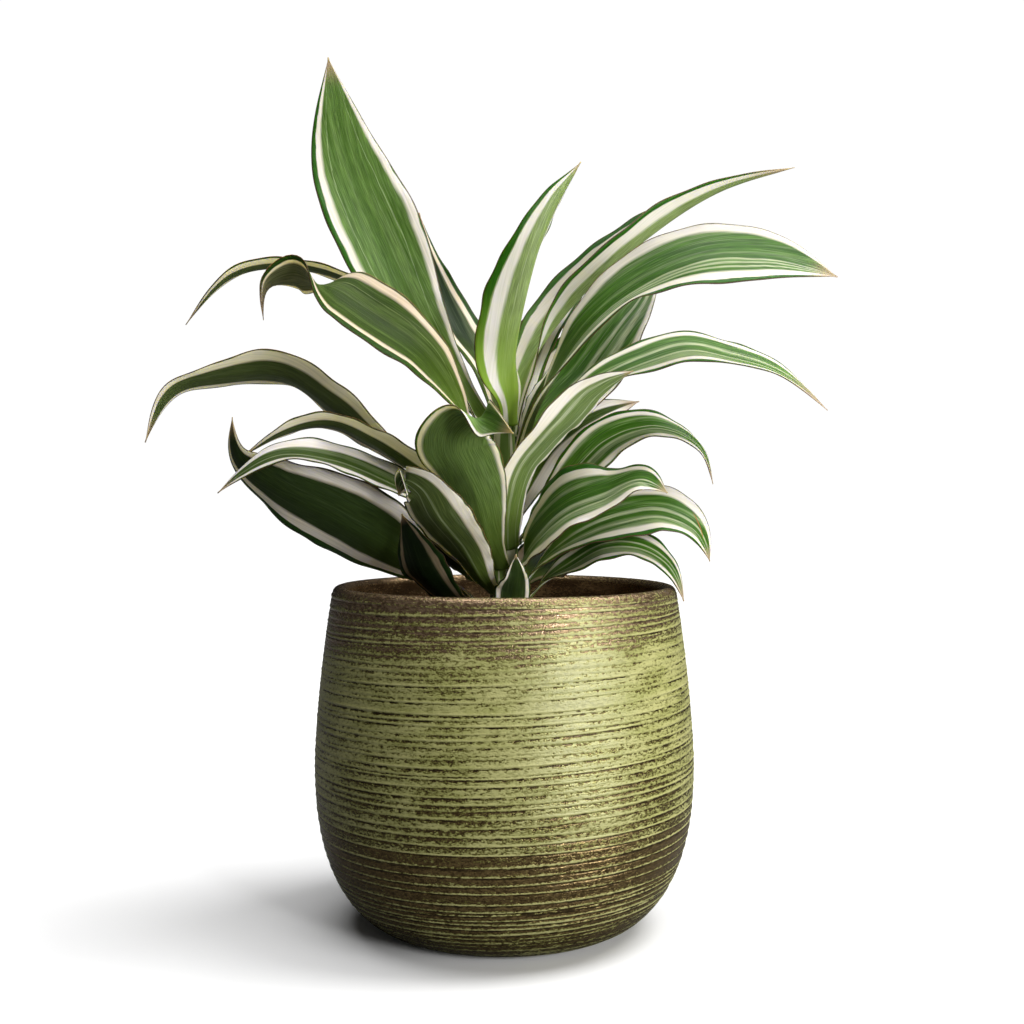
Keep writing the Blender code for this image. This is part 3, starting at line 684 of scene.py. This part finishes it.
def bladeSurface(leaf, phase):
    # The blade's middle layer over s, from base to tip, and t, from its right edge to its left: the
    # midrib's place, plus a step outward by t of the half width and a step up by the fold and the waves.
    # At the base both steps follow the stem's circle instead.
    width, widest = leaf["width"], leaf["widest"]
    base = leaf["base"] / width
    rollMiddle, rollTip = leaf["roll"]
    side = radians(leaf["side"])
    clasp = stemRadius(leaf["joins"]) + blade["clearance"]
    root = (clasp * cos(side), clasp * sin(side), soil["top"] + leaf["joins"])
    middle, length = smoothRoute([root] + leaf["route"], blade["along"] + 1)
    s = np.linspace(0, 1, blade["along"] + 1)
    t = np.linspace(-1, 1, blade["across"] + 1)[None, :]
    forward = unit(np.gradient(middle, axis=0))
    left = np.array([-sin(side), cos(side), 0])
    over = unit(left - (forward @ left)[:, None] * forward)
    up = np.cross(forward, over)
    middleTurn = rollMiddle + (rollTip - rollMiddle) * ease((s - blade["middle"]) / (1 - blade["middle"]))
    twistFrom, twistTo, twist = leaf["twist"]
    tipTurn = twist * ease((s - twistFrom) / (twistTo - twistFrom))
    roll = np.radians(middleTurn * ease(s / leaf["rollsBy"]) + tipTurn)[:, None]
    over, up = over * np.cos(roll) + up * np.sin(roll), up * np.cos(roll) - over * np.sin(roll)
    swell = base + (1 - base) * np.sin(pi / 2 * np.clip(s / widest, 0, 1)) ** 2
    point = (1 - np.clip((s - widest) / (1 - widest), 0, 1) ** blade["tipCurve"]) ** blade["tipTaper"]
    half = np.maximum(0.5 * width * np.where(s < widest, swell, point), blade["leastHalf"])[:, None]
    rising = ease(s / blade["risesBy"])
    slope = np.radians(leaf["fold"]) * (rising * (1 - blade["flattening"] * ease(2 * s - 1)))[:, None]
    fading = rising * ease((1 - s) / blade["risesBy"])
    wave = np.sin(2 * pi * blade["waves"] * s + phase) * fading
    trough = np.sqrt(t * t + blade["valley"] ** 2) - blade["valley"]
    outward = half * t * np.cos(slope)
    upward = half * trough * np.sin(slope) + blade["waveHeight"] * t * t * wave[:, None]
    # Small uneven frills, different on the two margins.
    frillLeft = np.sin(2 * pi * blade["frills"] * s + 3 * phase) + 0.6 * np.sin(23 * s + phase)
    frillRight = np.sin(2 * pi * blade["frills"] * 0.8 * s + 5 * phase) + 0.6 * np.sin(31 * s + 2 * phase)
    frill = np.where(t > 0, frillLeft[:, None], frillRight[:, None]) * np.abs(t) ** 6 * fading[:, None]
    upward = upward + blade["frill"] * frill
    turn = t * np.minimum(half / clasp, blade["wrapTurn"])
    wrap = (1 - ease(s / blade["opensBy"]))[:, None]
    outward = wrap * clasp * np.sin(turn) + (1 - wrap) * outward
    upward = wrap * clasp * (1 - np.cos(turn)) + (1 - wrap) * upward
    surface = middle[:, None] + over[:, None] * outward[..., None] + up[:, None] * upward[..., None]
    return surface, s[:, None] + 0 * t, t + 0 * half, half + 0 * t, length


def makeLeaf(leaf, phase):
    # Two layers half a thickness off the middle one, along its own normal, joined round the rim. The
    # blade thins to its margins and tip, and the lower layer has a midrib that fades to the tip.
    surface, s, t, half, length = bladeSurface(leaf, phase)
    normal = unit(np.cross(np.gradient(surface, axis=0), np.gradient(surface, axis=1)))
    tipShare, tipLength = blade["thinTip"]
    thick = blade["edgeThickness"] + (blade["thickness"] - blade["edgeThickness"]) * (1 - t ** 4)
    thick = thick * (tipShare + (1 - tipShare) * ease((1 - s) / tipLength))
    rib = blade["midrib"] * bump(t * half, blade["midribWidth"]) * (1 - s) * ease(s / 0.2)
    upper = surface + normal * (thick / 2)[..., None]
    lower = surface - normal * (thick / 2 + rib)[..., None]
    rows, columns = s.shape
    layerSize = rows * columns
    corner = np.arange(layerSize).reshape(rows, columns)
    top = np.stack([corner[:-1, :-1], corner[1:, :-1], corner[1:, 1:], corner[:-1, 1:]], axis=-1)
    top = top.reshape(-1, 4)
    under = top[:, ::-1] + layerSize
    rim = np.concatenate([corner[0, :], corner[1:, -1], corner[-1, -2::-1], corner[-2:0:-1, 0]])
    after = np.roll(rim, -1)
    wall = np.stack([rim, after, after + layerSize, rim + layerSize], axis=-1)
    faces = np.concatenate([top, under, wall]).tolist()
    points = np.concatenate([upper.reshape(-1, 3), lower.reshape(-1, 3)])
    # Where a pattern lies: shares across and along, the same in metres, and on which face.
    values = dict(across=t, along=s, aside=t * half * mm, run=s * length * mm)
    values = {label: np.tile(numbers.ravel(), 2) for label, numbers in values.items()}
    values["lower"] = np.repeat([0.0, 1.0], layerSize)
    name = leaf["name"].replace("leaf_", "blade_")
    piece = newPiece(name, points, faces, leafFinish(leaf), values)
    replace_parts(piece, leaf["name"])


def stripeRamp(tree, across, leaf):
    # 1 in the cream bands of both halves and 0 between and outside them. A band is sharp towards the
    # margin and frays towards the midrib.
    share = addNode(tree, "Math", {0: across, 1: 0.5, 2: 0.5}, operation="MULTIPLY_ADD")
    ramp = addNode(tree, "ValToRGB", {0: share})
    sharp, frayed = 0.012, 0.045
    edges = [(-leaf["right"][1], 1, sharp), (-leaf["right"][0], 0, frayed),
             (leaf["left"][0], 1, frayed), (leaf["left"][1], 0, sharp)]
    stops = [((edge + step + 1) / 2, value) for edge, after, soft in edges
             for step, value in ((-soft, 1 - after), (soft, after))]
    elements = ramp.node.color_ramp.elements
    while len(elements) < len(stops):
        elements.new(0.5)
    for element, (spot, value) in zip(elements, stops):
        element.position = spot
        element.color = (value, value, value, 1)
    return ramp


def leafFinish(leaf):
    # Living variegated leaf: a satin skin over fine lengthwise veins. It gives the eye a green ground
    # with pale streaks, cream bands set in from the margins, a thin dry edge, a dry tip and painted
    # shade darkening the ground towards the stem.
    tone = tones[leaf["tone"]]
    shade = leaf.get("shade", tone["shade"])
    material, tree, shader = newMaterial(
        leaf["name"] + " variegated skin", IOR=1.42, Specular_IOR_Level=tone["gloss"],
        Subsurface_Weight=0.8, Subsurface_Radius=(1.2, 1.2, 0.6), Subsurface_Scale=0.0015)
    across, along, aside, run, lower = [
        addNode(tree, "Attribute", output="Fac", attribute_name=label)
        for label in ("across", "along", "aside", "run", "lower")]
    flat = addNode(tree, "CombineXYZ", {0: aside, 1: run})
    # Streaks follow the veins: millimetres wide and centimetres long, with hair-fine ones between.
    wide = grain(tree, flat, 2.6, 2, (1, 22, 1))
    fine = grain(tree, flat, 0.8, 2, (1, 40, 1), 0.6)
    hairs = grain(tree, flat, 0.32, 1, (1, 30, 1))
    lanes = grain(tree, flat, 5, 1, (1, 30, 1))
    wander = grain(tree, flat, 14, 1, (1, 1.2, 1))
    shifted = weigh(tree, across, (wander, 0.09, 0.5), (fine, 0.05, 0.5))
    offMidrib = away(tree, shifted, 0)
    ground = layer(tree, tone["deep"], tone["centre"], wide, 0.3, 0.7)
    ground = layer(tree, ground, tone["pale"], lanes, 0.5, 0.62, 0, leaf["lanes"])
    ground = layer(tree, ground, tone["pale"], fine, 0.5, 0.7, 0, 0.22)
    ground = layer(tree, ground, tone["deep"], offMidrib, 0, 0.14, 0.6, 0)
    under = layer(tree, tone["under"], ground, fine, 0.4, 0.7, 0.1, 0.6)
    ground = addNode(tree, "Mix", {0: lower, 6: ground, 7: under}, 2, data_type="RGBA")
    for middle, halfWidth in leaf["stripes"]:
        striped = layer(tree, ground, tone["pale"], wide, 0.2, 0.5, 0.4, 1)
        offStripe = away(tree, shifted, middle)
        ground = layer(tree, ground, striped, offStripe, 0.6 * halfWidth, 1.8 * halfWidth, 0.85, 0)
    ground = layer(tree, ground, tone["margin"], offMidrib, 0.8, 0.82)
    ground = layer(tree, ground, blade["veinAndPaintedShade"], hairs, 0.35, 0.65, 0.4, 0)
    # Painted shade darkens the base, and on a young leaf the base is paler and yellower.
    ground = layer(tree, ground, blade["veinAndPaintedShade"], along, 0.05, 0.5, shade, 0)
    ground = layer(tree, ground, blade["glow"], along, 0.1, 0.5, leaf["glow"], 0)
    band = addNode(tree, "Mix", {0: lower, 6: tone["band"], 7: tone["underBand"]}, 2, data_type="RGBA")
    band = layer(tree, band, tone["pale"], fine, 0.4, 0.7, 0, 0.2)
    band = layer(tree, band, blade["stain"], wide, 0.5, 0.7, 0, 0.15)
    pattern = stripeRamp(tree, shifted, leaf)
    colour = addNode(tree, "Mix", {0: pattern, 6: ground, 7: band}, 2, data_type="RGBA")
    if "scratch" in leaf:
        # One short healed scratch across the veins.
        middle, place = leaf["scratch"]
        slanted = weigh(tree, along, (across, 0.16, middle), (wander, 0.02, 0.5))
        scored = layer(tree, colour, blade["scratch"], away(tree, slanted, place), 0.003, 0.008, 1, 0)
        colour = layer(tree, colour, scored, away(tree, across, middle), 0.2, 0.3, 1, 0)
    # A dry line runs round the blade, and its tip is dry.
    colour = layer(tree, colour, tone["edge"], away(tree, across, 0), 0.97, 0.985)
    colour = layer(tree, colour, blade["dryTip"], along, 0.97 - leaf["tip"], 1.0, 0, 0.85)
    dull = addNode(tree, "MapRange", {0: wide, 1: 0.3, 2: 0.7, 3: 0.36, 4: 0.5},
                   interpolation_type="SMOOTHSTEP")
    tree.links.new(dull, shader.inputs["Roughness"])
    giveSkin(tree, shader, colour, weigh(tree, fine, (hairs, 0.4, 0)), 0.35)
    return material


# Build every piece

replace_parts(makePot(glazeFinish()), "pot")
print("pot glazed")
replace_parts(makeSoil(soilFinish()), "soil")
print("soil filled")
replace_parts(makeStem(caneFinish()), "stem")
print("cane set")
for number, leafPlan in enumerate(leaves):
    makeLeaf({**plainBlade, **leafPlan}, blade["phaseStep"] * number)
print(len(leaves), "leaves grown")

# Floor and light

# A high soft main light from the right, which throws the shadow on the floor, a soft light overhead, a
# box in front to the right, a weak one in front, a tall window box that puts the sheen on the pot, and a
# dim room that the camera sees as plain white. Places are in metres, and every light is aimed at the
# height aim.
studio = dict(
    aim=0.18, sunPower=2.4, sunTurn=97, sunHeight=58, sunAngle=30,
    topPower=2.3, topPlace=(0, -0.01, 2), topAngle=50,
    sidePower=11.5, sidePlace=(0.95, -0.75, 0.3), sideSize=(0.6, 0.5),
    frontPower=0.5, frontPlace=(0.2, -1.3, 0.5), frontSize=(0.8, 0.8),
    windowPower=5, windowPlace=(0.61, -0.98, 0.42), windowSize=(0.1, 0.3),
    room=0.025, backdrop=1.02, floorSize=8.0, paper="#f0f0f0", bounce="#5a5a5a",
)


def addFloor():
    # One large white sheet under the foot. It is white to the camera and throws little light back up.
    edge = studio["floorSize"] / 2
    corners = [(-edge, -edge, 0), (edge, -edge, 0), (edge, edge, 0), (-edge, edge, 0)]
    mesh = bpy.data.meshes.new("floor")
    mesh.from_pydata(corners, [], [(0, 1, 2, 3)])
    material, tree, shader = newMaterial("white paper sweep", Roughness=0.9)
    seen = addNode(tree, "LightPath", output="Is Camera Ray")
    colour = addNode(tree, "Mix", {0: seen, 6: studio["bounce"], 7: studio["paper"]}, 2, data_type="RGBA")
    tree.links.new(colour, shader.inputs["Base Color"])
    mesh.materials.append(material)
    floor = bpy.data.objects.new("floor", mesh)
    scene.collection.objects.link(floor)


def addLight(name, kind, place, power):
    # A light aimed at the middle of the plant.
    light = bpy.data.objects.new(name, bpy.data.lights.new(name, kind))
    scene.collection.objects.link(light)
    light.location = place
    light.data.energy = power
    aim = np.array([0, 0, studio["aim"]]) - np.array(place)
    flat = float(np.hypot(aim[0], aim[1]))
    light.rotation_euler = (float(np.arctan2(flat, -aim[2])), 0, float(np.arctan2(aim[1], aim[0]) - pi / 2))
    return light.data


def addBox(name):
    # A soft box with the place, power and size that the studio gives it.
    box = addLight(name, "AREA", studio[name + "Place"], studio[name + "Power"])
    box.shape = "RECTANGLE"
    box.size, box.size_y = studio[name + "Size"]


def addRoom():
    # Even, dim light from all round; the camera alone sees it as bright as the floor.
    world = bpy.data.worlds.new("studio")
    world.use_nodes = True
    tree = world.node_tree
    background = tree.nodes["Background"]
    background.inputs["Color"].default_value = (1, 1, 1, 1)
    seen = addNode(tree, "LightPath", output="Is Camera Ray")
    strength = addNode(tree, "MapRange", {0: seen, 3: studio["room"], 4: studio["backdrop"]})
    tree.links.new(strength, background.inputs["Strength"])
    scene.world = world


addFloor()
turn, rise = radians(studio["sunTurn"]), radians(studio["sunHeight"])
sunPlace = (sin(turn) * cos(rise), -cos(turn) * cos(rise), sin(rise) + studio["aim"])
addLight("main", "SUN", sunPlace, studio["sunPower"]).angle = radians(studio["sunAngle"])
addLight("top", "SUN", studio["topPlace"], studio["topPower"]).angle = radians(studio["topAngle"])
for boxName in ("side", "front", "window"):
    addBox(boxName)
addRoom()
scene.view_settings.view_transform = "Standard"
print("studio lit")
